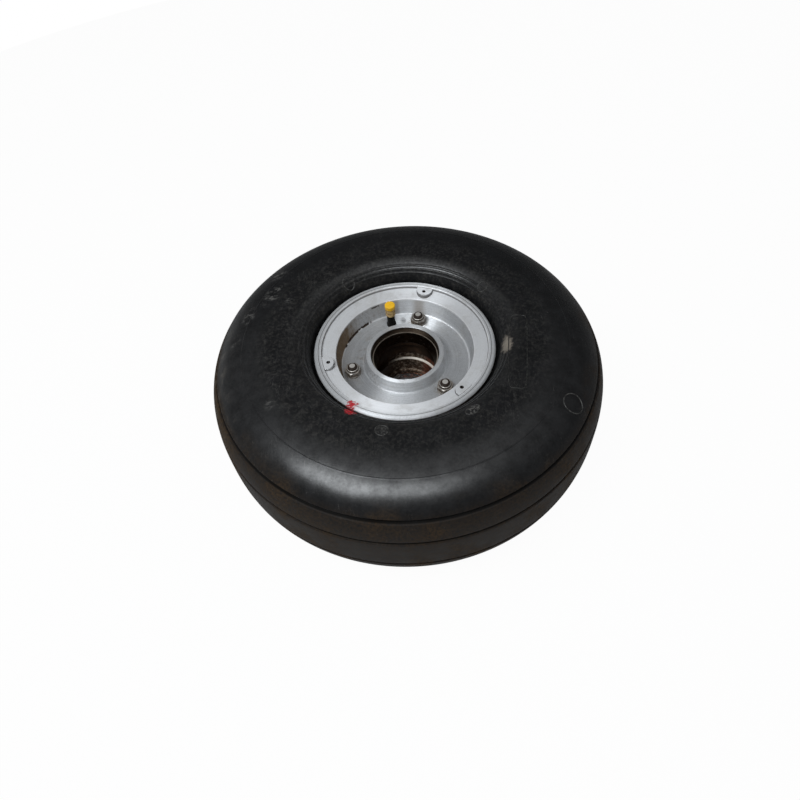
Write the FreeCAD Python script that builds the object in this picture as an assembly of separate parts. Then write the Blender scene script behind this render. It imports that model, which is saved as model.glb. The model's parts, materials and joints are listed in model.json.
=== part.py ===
import FreeCAD, Part
import math
import os

# Aircraft wheel lying flat: split rim, tyre and inner tube, bare bearing cups in the hub.
# Millimetres.  Z is the wheel's axis, z = 0 the middle of the tyre, +Z the outer (valve) side.
# A section is drawn as (r, z): distance from the axis, height along it.

# ---- rim: both halves -------------------------------------------------------------------
SEAT_R = 63.5            # bead seat, a 5 inch rim
FLANGE_R = 80.0          # outer edge of the rim flange
FLANGE_Z = 41.0          # inner face of each flange
LIP_Z = 47.6             # top of the rounded flange lip
LIP_INNER_R = 73.6       # where the lip steps down to the ring face
LIP_ROUND = 3.0
RING_OUTER_Z = 45.0      # ring face beside the lip
RING_INNER_Z = 42.5      # ring face at the edge of the dish
DISH_TOP_R = 61.1
DISH_FOOT_R = 58.0
WEB_Z = 26.4             # flat floor of the dish
WEB_THICK = 6.0
HUB_FACE_WIDTH = 4.4     # flat end face of the hub boss
HUB_TAPER = 2.9          # how far the boss spreads down to the floor
DRUM_WALL = 5.5
HUB_TUBE_R = 35.3        # outside of the hub tube, inside the wheel
CAST_FILLET = 3.0
TURNED_FILLET = 1.6
SHARP_BREAK = 0.6
LIP_GROOVE_R = 76.0      # fine turned line on the lip
LIP_GROOVE_WIDTH = 0.7

# ---- where the halves meet --------------------------------------------------------------
PARTING_Z = 2.5
REGISTER_DEPTH = 2.0     # spigot of the inner half in the outer half's drum
REGISTER_THICK = 2.2
REGISTER_GAP = 0.06

# ---- hub bores --------------------------------------------------------------------------
CUP_R = 29.37            # bearing cup, 58.74 mm outside
CUP_WIDTH = 10.7
CUP_EDGE = 0.7           # thin outboard edge of the cup
CUP_ANGLE = 15.0         # slope of the raceway, degrees
CUP_ROUND = 0.5
SEAL_STEP = 1.03         # how far the seal bore stands back from the cup bore
SEAL_DEPTH = 5.5
SNAP_GROOVE_DROP = 0.9   # groove of the seal's snap ring, below the hub's face
SNAP_GROOVE_WIDTH = 1.3
SNAP_GROOVE_DEPTH = 1.0
SHOULDER_R = 26.6        # land that the cup is pressed against
SHOULDER_WIDTH = 3.5
OUTER_CUP_Z = 31.4       # outboard edge of the outer cup
INNER_CUP_Z = 35.2       # outboard edge of the inner cup, below the middle
OUTER_HUB_BORE_R = 30.0
INNER_HUB_BORE_R = 28.0
INNER_RELIEF_R = 31.0    # counterbore in the end of the inner hub tube
INNER_RELIEF_Z = 6.0     # floor of that counterbore, below the middle

# ---- tie bolts, nuts, washers -----------------------------------------------------------
BOLT_COUNT = 3
BOLT_CIRCLE_R = 48.5
BOLT_ANGLE = 72.0
BOLT_R = 3.97            # 5/16 inch
BOLT_HOLE_GAP = 0.13
BOSS_R = 10.0
HEX_FLATS = 12.7
HEAD_HEIGHT = 4.8
NUT_HEX_HEIGHT = 4.4
NUT_COLLAR_R = 5.3
NUT_COLLAR_HEIGHT = 1.7
BOLT_PROUD = 2.2         # bolt end showing above the nut
BOLT_CHAMFER = 0.8
HEX_CHAMFER = 0.9
WASHER_R = 7.15
WASHER_THICK = 1.6

# ---- hub cap screw pads -----------------------------------------------------------------
PAD_ANGLE = 71.0
PAD_R = 7.2
PAD_CENTRE_R = 70.8
PAD_DROP = 0.5           # pads lie this far below the lip
PAD_HOLE_CIRCLE_R = 68.3
PAD_HOLE_R = 1.75
PAD_HOLE_DEPTH = 5.0

# ---- tyre -------------------------------------------------------------------------------
TYRE_R = 175.5
TYRE_HALF_WIDTH = 61.5
WIDEST_R = 100.0         # where the section is widest
CROWN_POWER = 3.0        # superellipse of the tread and shoulders
FLANK_POWER = 1.75       # superellipse of the sidewall beside the flange
FLANGE_CLEAR = 2.0       # sidewall stands off the flange edge
FLANK_FOOT_Z = 43.5
FLANK_ROUND = 2.4
FLANK_STEPS = 6
CROWN_STEPS = 10
TREAD_WALL = 11.0
SIDE_WALL = 6.5
BEAD_WIDTH = 16.0
BEAD_HEIGHT = 12.5
BEAD_SLOPE = 6.0         # how far the bead narrows over its height
HEEL_ROUND = 2.6
HEEL_GAP = 0.06          # tyre's heel stands off the corner of the bead seat
GROOVE_HEIGHTS = (-40.3, -18.8, 18.8, 40.3)
GROOVE_WIDTH = 3.0
GROOVE_DEPTH = 3.4
GROOVE_TAPER = 0.6

# ---- inner tube -------------------------------------------------------------------------
TUBE_GAP = 0.3
TUBE_WALL = 2.2
CAVITY_STEPS = 6

# ---- valve ------------------------------------------------------------------------------
VALVE_R = 46.5           # upright stem, distance from the axis
VALVE_ANGLE = 103.0
VALVE_ENTRY_Z = 11.5     # height at which the stem passes through the drum
VALVE_BEND_R = 8.0
VALVE_COVER_R = 3.6      # rubber over the stem
VALVE_FOOT_R = 4.3       # thicker foot of the rubber at the web
VALVE_FOOT_TOP = 3.0
VALVE_HOLE_GAP = 0.5
VALVE_METAL_R = 2.6
VALVE_AIR_R = 1.2
COVER_TOP_Z = 40.2
TIP_R = 3.85             # threaded end, 7.7 mm
TIP_HEIGHT = 10.4
TIP_WALL = 1.3
CORE_HEIGHT = 7.6
CORE_SEAT_HEIGHT = 1.8   # core seat above the foot of the threaded end
CORE_LAND = 0.55         # seat ring that stops the core
CORE_FLOOR = 1.5
PIN_R = 0.5
PIN_GAP = 0.1
PIN_COLLAR_R = 1.3
PIN_COLLAR_HEIGHT = 0.7
PIN_PROUD = 0.3
PIN_TRAVEL = 1.0
POPPET_HEIGHT = 1.2
SPRING_WIRE_R = 0.2
SPRING_TURNS = 3.5
SPRING_GAP = 0.12
CORE_WALL = 0.8
CAP_WALL = 0.85
CAP_TOP = 1.8
CAP_ROUND = 0.9
CAP_TAPER = 0.3
CAP_FLUTES = 12
CAP_FLUTE_R = 0.55
CAP_FLUTE_DEPTH = 0.22
RUN_GAP = 0.1            # thread and running clearance on the radius
SEAT_GAP = 0.02          # flat faces of moving pieces at rest

X_AXIS = FreeCAD.Vector(1, 0, 0)
Z_AXIS = FreeCAD.Vector(0, 0, 1)
ORIGIN = FreeCAD.Vector(0, 0, 0)
TINY = 1e-6
OVER = 1.0               # how far a cutting tool runs past the metal


def at(r, z):
    """Point of a section."""
    return FreeCAD.Vector(r, 0, z)


def rounded_wire(corners):
    """Closed section through (r, z, radius) corners; each radius rounds its corner by a tangent arc."""
    spans = []
    for i, (r, z, radius) in enumerate(corners):
        here = at(r, z)
        back = at(*corners[i - 1][:2]) - here
        on = at(*corners[(i + 1) % len(corners)][:2]) - here
        if not radius:
            spans.append((here, None, here))
            continue
        back.normalize()
        on.normalize()
        half = back.getAngle(on) / 2
        inward = back + on
        inward.normalize()
        reach = radius / math.tan(half)
        middle = here + inward * (radius / math.sin(half) - radius)
        spans.append((here + back * reach, middle, here + on * reach))
    edges = []
    for i, (start, middle, end) in enumerate(spans):
        if middle:
            edges.append(Part.Arc(start, middle, end).toShape())
        following = spans[(i + 1) % len(spans)][0]
        if end.distanceToPoint(following) > TINY:
            edges.append(Part.makeLine(end, following))
    return Part.Wire(edges)


def turned(section):
    """Solid of revolution of a section, a face or a closed wire."""
    face = section if section.ShapeType == "Face" else Part.Face(section)
    return face.revolve(ORIGIN, Z_AXIS, 360)


def turned_polygon(corners):
    return turned(rounded_wire([(r, z, 0) for r, z in corners]))


def cylinder(radius, bottom, top, r=0.0, angle=0.0):
    """Upright cylinder between two heights, at a distance and angle from the wheel's axis."""
    solid = Part.makeCylinder(radius, top - bottom, at(r, bottom))
    return spun(solid, angle)


def spun(shape, angle):
    moved = shape.copy()
    moved.rotate(ORIGIN, Z_AXIS, angle)
    return moved


def flipped(shape):
    """The same shape on the other side of the wheel."""
    moved = shape.copy()
    moved.rotate(ORIGIN, X_AXIS, 180)
    return moved


def bolt_angles():
    return [BOLT_ANGLE + i * 360.0 / BOLT_COUNT for i in range(BOLT_COUNT)]


# ---- wheel halves -----------------------------------------------------------------------
def seal_bore_r():
    return CUP_R + SEAL_STEP


def half_section(parting, cup_z, bore_r, tube_corners):
    """Section of a wheel half, with z measured outwards from the middle of the wheel.

    It runs over the open face from the hub to the flange, back along the bead seat, and through the hub bore.
    """
    seal_r = seal_bore_r()
    hub_z = cup_z + SEAL_DEPTH
    face_r = seal_r + HUB_FACE_WIDTH
    snap_top = hub_z - SNAP_GROOVE_DROP
    snap_r = seal_r + SNAP_GROOVE_DEPTH
    drum_r = SEAT_R - DRUM_WALL
    web_back = WEB_Z - WEB_THICK
    shoulder_z = cup_z - CUP_WIDTH
    land_z = shoulder_z - SHOULDER_WIDTH
    return rounded_wire([
        (seal_r + SHARP_BREAK, hub_z, 0),
        (face_r, hub_z, SHARP_BREAK),
        (face_r + HUB_TAPER, WEB_Z, TURNED_FILLET),
        (DISH_FOOT_R, WEB_Z, TURNED_FILLET),
        (DISH_TOP_R, RING_INNER_Z, SHARP_BREAK),
        (LIP_INNER_R - SHARP_BREAK, RING_OUTER_Z, SHARP_BREAK),
        (LIP_INNER_R, LIP_Z, SHARP_BREAK),
        (FLANGE_R, LIP_Z, LIP_ROUND),
        (FLANGE_R, FLANGE_Z, LIP_ROUND),
        (SEAT_R, FLANGE_Z, HEEL_ROUND),
        (SEAT_R, parting, 0),
        (drum_r, parting, 0),
        (drum_r, web_back, CAST_FILLET),
        (HUB_TUBE_R, web_back, CAST_FILLET),
        *tube_corners,
        (bore_r, land_z - (bore_r - SHOULDER_R), 0),
        (SHOULDER_R, land_z, 0),
        (SHOULDER_R, shoulder_z, 0),
        (CUP_R, shoulder_z, 0),
        (CUP_R, cup_z, 0),
        (seal_r, cup_z, 0),
        (seal_r, snap_top - SNAP_GROOVE_WIDTH, 0),
        (snap_r, snap_top - SNAP_GROOVE_WIDTH, 0),
        (snap_r, snap_top, 0),
        (seal_r, snap_top, 0),
        (seal_r, hub_z - SHARP_BREAK, 0),
    ])


def bolt_bosses(parting):
    """Columns that carry the clamping load from web to web; the drum and web keep their own walls."""
    bosses = []
    for angle in bolt_angles():
        bosses.append(cylinder(BOSS_R, parting, WEB_Z - WEB_THICK / 2, BOLT_CIRCLE_R, angle))
    return bosses


def bolt_holes():
    top = WEB_Z + OVER
    return [cylinder(BOLT_R + BOLT_HOLE_GAP, -top, top, BOLT_CIRCLE_R, a) for a in bolt_angles()]


def screw_pads():
    """Half-round pads that grow from the lip over the ring face, each with a blind screw hole."""
    pads = []
    holes = []
    top = LIP_Z - PAD_DROP
    bottom = (FLANGE_Z + RING_INNER_Z) / 2
    for angle in [PAD_ANGLE + i * 360.0 / BOLT_COUNT for i in range(BOLT_COUNT)]:
        round_end = Part.makeCylinder(PAD_R, top - bottom, at(PAD_CENTRE_R, bottom))
        neck_length = LIP_INNER_R + SHARP_BREAK - PAD_CENTRE_R
        corner = FreeCAD.Vector(PAD_CENTRE_R, -PAD_R, bottom)
        neck = Part.makeBox(neck_length, 2 * PAD_R, top - bottom, corner)
        lip_limit = Part.makeCylinder(LIP_INNER_R + SHARP_BREAK, top - bottom, at(0, bottom))
        pads.append(spun(round_end.fuse(neck).common(lip_limit), angle))
        holes.append(cylinder(PAD_HOLE_R, top - PAD_HOLE_DEPTH, top + OVER, PAD_HOLE_CIRCLE_R, angle))
    return pads, holes


def lip_groove():
    """Fine turned line round the top of the lip."""
    depth = LIP_GROOVE_WIDTH / 2
    return turned_polygon([
        (LIP_GROOVE_R - LIP_GROOVE_WIDTH / 2, LIP_Z + TINY),
        (LIP_GROOVE_R + LIP_GROOVE_WIDTH / 2, LIP_Z + TINY),
        (LIP_GROOVE_R, LIP_Z - depth),
    ])


def valve_holes():
    """Where the stem passes: inwards through the drum, then up through the web."""
    entry_r = VALVE_COVER_R + VALVE_HOLE_GAP
    start = at(SEAT_R - DRUM_WALL - OVER, VALVE_ENTRY_Z)
    drum_bore = Part.makeCylinder(entry_r, DRUM_WALL + 2 * OVER, start, X_AXIS)
    web_bore = cylinder(VALVE_FOOT_R, WEB_Z - WEB_THICK - OVER, WEB_Z + OVER, VALVE_R)
    return [spun(drum_bore, VALVE_ANGLE), spun(web_bore, VALVE_ANGLE)]


def outer_wheel_half():
    section = half_section(PARTING_Z, OUTER_CUP_Z, OUTER_HUB_BORE_R, [
        (HUB_TUBE_R, PARTING_Z, 0),
        (OUTER_HUB_BORE_R, PARTING_Z, 0),
    ])
    pads, holes = screw_pads()
    body = turned(section).fuse(bolt_bosses(PARTING_Z) + pads)
    return body.cut(holes + bolt_holes() + valve_holes() + [register_recess(), lip_groove()])


def register_ring(bottom, top, gap):
    """Ring inside the drum wall, from a height below the parting face to one above it."""
    inner_r = SEAT_R - DRUM_WALL - gap
    outer_r = SEAT_R - DRUM_WALL + REGISTER_THICK + gap
    return turned_polygon([
        (inner_r, bottom),
        (outer_r, bottom),
        (outer_r, top),
        (inner_r, top),
    ])


def register_recess():
    """Recess of the outer half that takes the inner half's spigot."""
    return register_ring(PARTING_Z - OVER, PARTING_Z + REGISTER_DEPTH + REGISTER_GAP, REGISTER_GAP)


def inner_wheel_half():
    parting = -PARTING_Z
    section = half_section(parting, INNER_CUP_Z, INNER_HUB_BORE_R, [
        (HUB_TUBE_R, parting, 0),
        (INNER_RELIEF_R, parting, 0),
        (INNER_RELIEF_R, INNER_RELIEF_Z, 0),
        (INNER_HUB_BORE_R, INNER_RELIEF_Z, 0),
    ])
    spigot = register_ring(PARTING_Z - OVER, PARTING_Z + REGISTER_DEPTH, 0)
    body = turned(section).fuse(bolt_bosses(parting)).cut([lip_groove()])
    return flipped(body).fuse(spigot).cut(bolt_holes())


# ---- bearing cups -----------------------------------------------------------------------
def bearing_cup(cup_z):
    """Tapered roller cup: thin edge outboard, thick end against the hub's land."""
    edge_r = CUP_R - CUP_EDGE
    inner_r = edge_r - CUP_WIDTH * math.tan(math.radians(CUP_ANGLE))
    return turned(rounded_wire([
        (CUP_R, cup_z - CUP_WIDTH, CUP_ROUND),
        (CUP_R, cup_z, 0),
        (edge_r, cup_z, 0),
        (inner_r, cup_z - CUP_WIDTH, CUP_ROUND),
    ]))


# ---- fasteners --------------------------------------------------------------------------
def hexagon(flats, bottom, top, chamfered_top, chamfered_bottom):
    """Hexagonal prism with its corners turned off at the stated ends."""
    corner_r = flats / math.sqrt(3)
    corner = Part.Vertex(at(corner_r, bottom))
    points = [spun(corner, 60 * i).Point for i in range(7)]
    prism = Part.Face(Part.makePolygon(points)).extrude(Z_AXIS * (top - bottom))
    drop = HEX_CHAMFER / 2
    low_r = flats / 2 if chamfered_bottom else corner_r
    high_r = flats / 2 if chamfered_top else corner_r
    turning = turned_polygon([
        (0, bottom),
        (low_r, bottom),
        (corner_r, bottom + (drop if chamfered_bottom else TINY)),
        (corner_r, top - (drop if chamfered_top else TINY)),
        (high_r, top),
        (0, top),
    ])
    return prism.common(turning)


def on_bolt_circle(shape, angle):
    moved = shape.copy()
    moved.translate(at(BOLT_CIRCLE_R, 0))
    return spun(moved, angle)


def nut_seat_z():
    return WEB_Z + WASHER_THICK


def nut_top_z():
    return nut_seat_z() + NUT_HEX_HEIGHT + NUT_COLLAR_HEIGHT


def tie_bolt():
    """Hexagon head under the inner web, shank through both halves, chamfered end above the nut."""
    under_head = -nut_seat_z()
    end = nut_top_z() + BOLT_PROUD
    head = hexagon(HEX_FLATS, under_head - HEAD_HEIGHT, under_head, False, True)
    shank = turned_polygon([
        (0, under_head - HEAD_HEIGHT / 2),
        (BOLT_R, under_head - HEAD_HEIGHT / 2),
        (BOLT_R, end - BOLT_CHAMFER),
        (BOLT_R - BOLT_CHAMFER, end),
        (0, end),
    ])
    return head.fuse(shank).removeSplitter()


def tie_nut():
    """Self-locking nut: hexagon with a round collar above it."""
    bottom = nut_seat_z()
    hex_top = bottom + NUT_HEX_HEIGHT
    body = hexagon(HEX_FLATS, bottom, hex_top, True, False)
    collar = turned(rounded_wire([
        (0, hex_top - OVER, 0),
        (NUT_COLLAR_R, hex_top - OVER, 0),
        (NUT_COLLAR_R, nut_top_z(), HEX_CHAMFER),
        (0, nut_top_z(), 0),
    ]))
    return body.fuse(collar).cut(cylinder(BOLT_R, bottom - OVER, nut_top_z() + OVER))


def washer(bottom):
    """Flat washer that lies on the web."""
    disc = cylinder(WASHER_R, bottom, bottom + WASHER_THICK)
    return disc.cut(cylinder(BOLT_R + BOLT_HOLE_GAP, bottom - OVER, bottom + WASHER_THICK + OVER))


# ---- tyre and tube ----------------------------------------------------------------------
def superellipse(centre_r, centre_z, reach_r, reach_z, power, steps):
    """Points of a quarter superellipse from its reach in z to its reach in r, evenly by angle."""
    points = []
    for i in range(steps + 1):
        turn = math.pi / 2 * (1 - i / steps)
        r = centre_r + reach_r * max(math.cos(turn), 0) ** (2 / power)
        z = centre_z + reach_z * math.sin(turn) ** (2 / power)
        points.append(at(r, z))
    return points


def mirrored(points):
    return [at(p.x, -p.z) for p in reversed(points)]


def smooth_edge(points, start, end):
    """Spline through points that leaves and arrives along the stated directions."""
    curve = Part.BSplineCurve()
    curve.interpolate(Points=points, InitialTangent=start, FinalTangent=end)
    return curve.toShape()


def crown_edge(top_r, half_width, power, steps):
    """Tread and both shoulders, from the widest point above the middle to the one below."""
    upper = superellipse(WIDEST_R, 0, top_r - WIDEST_R, half_width, power, steps)
    return smooth_edge(upper + mirrored(upper)[1:], at(half_width, 0), at(-half_width, 0))


def tread_radius(z):
    """Radius of the tread at a height, by the superellipse."""
    share = 1 - (abs(z) / TYRE_HALF_WIDTH) ** CROWN_POWER
    return WIDEST_R + (TYRE_R - WIDEST_R) * share ** (1 / CROWN_POWER)


def flank_points():
    """Sidewall beside the flange, from its foot to the widest point."""
    reach_r = WIDEST_R - FLANGE_R - FLANGE_CLEAR
    reach_z = TYRE_HALF_WIDTH - FLANK_FOOT_Z
    quarter = superellipse(0, 0, reach_r, reach_z, FLANK_POWER, FLANK_STEPS)
    return [at(WIDEST_R - p.x, FLANK_FOOT_Z + p.z) for p in reversed(quarter)]


def tyre_outline():
    """Outside of the tyre's section, closed along the bead seat."""
    flank = flank_points()
    foot = flank[0]
    rise = FLANK_FOOT_Z - FLANGE_Z
    upper = smooth_edge(flank, at(0, rise), at(rise, 0))
    lower = smooth_edge(mirrored(flank), at(-rise, 0), at(0, rise))
    crown = crown_edge(TYRE_R, TYRE_HALF_WIDTH, CROWN_POWER, CROWN_STEPS)
    corners = rounded_path([
        (foot.x, -foot.z, 0),
        (foot.x, -FLANGE_Z, FLANK_ROUND),
        (SEAT_R, -FLANGE_Z, HEEL_ROUND + HEEL_GAP),
        (SEAT_R, FLANGE_Z, HEEL_ROUND + HEEL_GAP),
        (foot.x, FLANGE_Z, FLANK_ROUND),
        (foot.x, foot.z, 0),
    ])
    return Part.Face(Part.Wire(corners + [upper, crown, lower]))


def rounded_path(corners):
    """Open run of a rounded outline: the closing line of the closed one is left out."""
    closed = rounded_wire(corners)
    return closed.OrderedEdges[:-1]


def cavity(inset, bottom_r):
    """Air space inside the tyre, drawn in by an inset: bead flanks, sidewalls and crown."""
    toe_z = FLANGE_Z - BEAD_WIDTH - inset
    bead_r = SEAT_R + BEAD_HEIGHT + inset
    bead_z = toe_z + BEAD_SLOPE
    side_z = TYRE_HALF_WIDTH - SIDE_WALL - inset
    pull = (WIDEST_R - bead_r) / 2
    poles = [
        at(bead_r, bead_z),
        at(bead_r + pull, bead_z + BEAD_SLOPE),
        at(WIDEST_R - pull, side_z),
        at(WIDEST_R, side_z),
    ]
    flank = Part.BezierCurve()
    flank.setPoles(poles)
    lower = Part.BezierCurve()
    lower.setPoles(mirrored(poles))
    crown = crown_edge(TYRE_R - TREAD_WALL - inset, side_z, CROWN_POWER, CAVITY_STEPS)
    edges = [
        Part.makeLine(at(bottom_r, toe_z), at(bead_r, bead_z)),
        flank.toShape(),
        crown,
        lower.toShape(),
        Part.makeLine(at(bead_r, -bead_z), at(bottom_r, -toe_z)),
        Part.makeLine(at(bottom_r, -toe_z), at(bottom_r, toe_z)),
    ]
    return Part.Face(Part.Wire(edges))


def groove_section(z):
    """Tread groove: straight tapered walls and a flat floor."""
    half = GROOVE_WIDTH / 2
    floor = tread_radius(z) - GROOVE_DEPTH
    mouth = tread_radius(z) + GROOVE_DEPTH
    flare = GROOVE_TAPER
    return Part.Face(rounded_wire([
        (floor, z - half + flare, 0),
        (floor, z + half - flare, 0),
        (mouth, z + half + flare, 0),
        (mouth, z - half - flare, 0),
    ]))


def tyre():
    grooves = [groove_section(z) for z in GROOVE_HEIGHTS]
    section = tyre_outline().cut([cavity(0, SEAT_R - OVER), *grooves])
    return turned(section.Faces[0])


def stem_bore_in_tube():
    """Hole in the tube's inner wall for the metal of the stem."""
    length = TUBE_GAP + TUBE_WALL + OVER
    bore = Part.makeCylinder(VALVE_METAL_R, length, at(SEAT_R, VALVE_ENTRY_Z), X_AXIS)
    return spun(bore, VALVE_ANGLE)


def inner_tube():
    bottom = SEAT_R + TUBE_GAP
    skin = turned(cavity(TUBE_GAP, bottom))
    air = turned(cavity(TUBE_GAP + TUBE_WALL, bottom + TUBE_WALL))
    return skin.cut(air).cut(stem_bore_in_tube())


# ---- valve ------------------------------------------------------------------------------
def stem_path(start_r, top):
    """Centre line of the stem: inwards through the drum, a quarter bend, then upright."""
    bend = VALVE_BEND_R
    slant = bend * (1 - math.sqrt(0.5))
    start = at(start_r, VALVE_ENTRY_Z)
    bend_start = at(VALVE_R + bend, VALVE_ENTRY_Z)
    bend_middle = at(VALVE_R + slant, VALVE_ENTRY_Z + slant)
    bend_end = at(VALVE_R, VALVE_ENTRY_Z + bend)
    return Part.Wire([
        Part.makeLine(start, bend_start),
        Part.Arc(bend_start, bend_middle, bend_end).toShape(),
        Part.makeLine(bend_end, at(VALVE_R, top)),
    ])


def stem_run(radius, start_r, top):
    """Round bar of one radius along the stem's centre line."""
    ring = Part.Wire(Part.makeCircle(radius, at(start_r, VALVE_ENTRY_Z), X_AXIS))
    return stem_path(start_r, top).makePipeShell([ring], True, False)


def upright(corners):
    """Solid turned about the upright stem's own axis, from (radius, z) corners."""
    solid = turned_polygon(corners)
    solid.translate(at(VALVE_R, 0))
    return solid


def tip_top_z():
    return COVER_TOP_Z + TIP_HEIGHT


def core_seat_z():
    return COVER_TOP_Z + CORE_SEAT_HEIGHT


def core_bore_r():
    return TIP_R - TIP_WALL


def core_r():
    return core_bore_r() - RUN_GAP / 2


def poppet_r():
    return core_bore_r() - CORE_LAND - 2 * RUN_GAP


def pin_top_z():
    return core_seat_z() + CORE_HEIGHT + PIN_PROUD


def poppet_top_z():
    return core_seat_z() - SEAT_GAP


def valve_cover():
    """Rubber moulded over the stem, with a thicker foot where it stands in the web."""
    skin = stem_run(VALVE_COVER_R, SEAT_R, COVER_TOP_Z)
    foot_top = WEB_Z + VALVE_FOOT_TOP
    foot = upright([
        (0, WEB_Z - WEB_THICK),
        (VALVE_FOOT_R, WEB_Z - WEB_THICK),
        (VALVE_FOOT_R, foot_top - (VALVE_FOOT_R - VALVE_COVER_R)),
        (VALVE_COVER_R, foot_top),
        (0, foot_top),
    ])
    metal = stem_run(VALVE_METAL_R, SEAT_R + OVER, COVER_TOP_Z + OVER)
    return spun(skin.fuse(foot).cut(metal), VALVE_ANGLE)


def valve_stem():
    """Brass stem with its air passage, core chamber and threaded end."""
    inner_end = SEAT_R + TUBE_GAP + TUBE_WALL
    bar = stem_run(VALVE_METAL_R, inner_end, COVER_TOP_Z + OVER)
    tip = upright([
        (0, COVER_TOP_Z),
        (TIP_R, COVER_TOP_Z),
        (TIP_R, tip_top_z() - SHARP_BREAK),
        (TIP_R - SHARP_BREAK, tip_top_z()),
        (0, tip_top_z()),
    ])
    passage = stem_run(VALVE_AIR_R, inner_end + OVER, COVER_TOP_Z)
    chamber_floor = poppet_top_z() - POPPET_HEIGHT - PIN_TRAVEL - RUN_GAP
    chamber_r = core_bore_r() - CORE_LAND
    chamber = upright([
        (0, chamber_floor),
        (chamber_r, chamber_floor),
        (chamber_r, core_seat_z()),
        (core_bore_r(), core_seat_z()),
        (core_bore_r(), tip_top_z() + OVER),
        (0, tip_top_z() + OVER),
    ])
    return spun(bar.fuse(tip).cut([passage, chamber]), VALVE_ANGLE)


def valve_core():
    """Housing of the core: a floor that the poppet closes and a chamber for the spring."""
    seat = core_seat_z()
    chamber_r = core_r() - CORE_WALL
    return spun(upright([
        (PIN_R + PIN_GAP, seat),
        (core_r(), seat),
        (core_r(), seat + CORE_HEIGHT),
        (chamber_r, seat + CORE_HEIGHT),
        (chamber_r, seat + CORE_FLOOR),
        (PIN_R + PIN_GAP, seat + CORE_FLOOR),
    ]), VALVE_ANGLE)


def collar_bottom_z():
    return core_seat_z() + CORE_HEIGHT - PIN_COLLAR_HEIGHT


def valve_pin():
    """Pin with the collar that the spring lifts and the poppet below the core."""
    poppet_top = poppet_top_z()
    collar = collar_bottom_z()
    return spun(upright([
        (0, poppet_top - POPPET_HEIGHT),
        (poppet_r(), poppet_top - POPPET_HEIGHT),
        (poppet_r(), poppet_top),
        (PIN_R, poppet_top),
        (PIN_R, collar),
        (PIN_COLLAR_R, collar),
        (PIN_COLLAR_R, collar + PIN_COLLAR_HEIGHT),
        (PIN_R, collar + PIN_COLLAR_HEIGHT),
        (PIN_R, pin_top_z()),
        (0, pin_top_z()),
    ]), VALVE_ANGLE)


def valve_spring():
    """Open coil between the core's floor and the pin's collar."""
    bottom = core_seat_z() + CORE_FLOOR + SPRING_WIRE_R
    height = collar_bottom_z() - SPRING_WIRE_R - SEAT_GAP - bottom
    coil_r = PIN_R + SPRING_GAP + SPRING_WIRE_R
    helix = Part.makeHelix(height / SPRING_TURNS, height, coil_r)
    rise = height / SPRING_TURNS / (2 * math.pi)
    wire = Part.Wire(Part.makeCircle(SPRING_WIRE_R, at(coil_r, 0), FreeCAD.Vector(0, coil_r, rise)))
    coil = Part.Wire(helix).makePipeShell([wire], True, True)
    coil.translate(at(VALVE_R, bottom))
    return spun(coil, VALVE_ANGLE)


def valve_cap():
    """Screw cap over the threaded end, with finger flutes round its skirt."""
    bottom = COVER_TOP_Z + SEAT_GAP
    bore_r = TIP_R + RUN_GAP
    wall_r = bore_r + CAP_WALL
    flute_centre_r = wall_r + CAP_FLUTE_R - CAP_FLUTE_DEPTH
    roof = tip_top_z() + RUN_GAP
    top = roof + CAP_TOP
    body = turned(rounded_wire([
        (0, roof, 0),
        (bore_r, roof, 0),
        (bore_r, bottom, 0),
        (wall_r - CAP_TAPER, bottom, 0),
        (wall_r, top, CAP_ROUND),
        (0, top, 0),
    ]))
    flutes = []
    for i in range(CAP_FLUTES):
        flute = Part.makeCylinder(CAP_FLUTE_R, roof - bottom, at(flute_centre_r, bottom))
        flutes.append(spun(flute, i * 360.0 / CAP_FLUTES))
    body = body.cut(flutes)
    body.translate(at(VALVE_R, 0))
    return spun(body, VALVE_ANGLE)


# ---- the wheel --------------------------------------------------------------------------
def nodes():
    made = {
        "tyre": tyre(),
        "inner_tube": inner_tube(),
        "outer_wheel_half": outer_wheel_half(),
        "inner_wheel_half": inner_wheel_half(),
        "outer_bearing_cup": bearing_cup(OUTER_CUP_Z),
        "inner_bearing_cup": flipped(bearing_cup(INNER_CUP_Z)),
        "valve_cover": valve_cover(),
        "valve_stem": valve_stem(),
        "valve_core": valve_core(),
        "valve_pin": valve_pin(),
        "valve_spring": valve_spring(),
        "valve_cap": valve_cap(),
    }
    bolt = tie_bolt()
    nut = tie_nut()
    upper_washer = washer(WEB_Z)
    lower_washer = washer(-WEB_Z - WASHER_THICK)
    for i, angle in enumerate(bolt_angles(), start=1):
        made[f"tie_bolt_{i}"] = on_bolt_circle(bolt, angle)
        made[f"tie_nut_{i}"] = on_bolt_circle(nut, angle)
        made[f"nut_washer_{i}"] = on_bolt_circle(upper_washer, angle)
        made[f"head_washer_{i}"] = on_bolt_circle(lower_washer, angle)
    return made


os.makedirs("parts", exist_ok=True)
for name, shape in nodes().items():
    shape.exportStep(f"parts/{name}.step")
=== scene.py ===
"""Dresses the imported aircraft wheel: a ribbed tyre, worn turned castings, fasteners and the filling valve."""

import json
import math

import bpy
import numpy as np
from bpy.props import FloatProperty, FloatVectorProperty, IntProperty, PointerProperty
from bpy.types import Operator, Panel, PropertyGroup
from mathutils import Matrix, Vector


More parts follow.
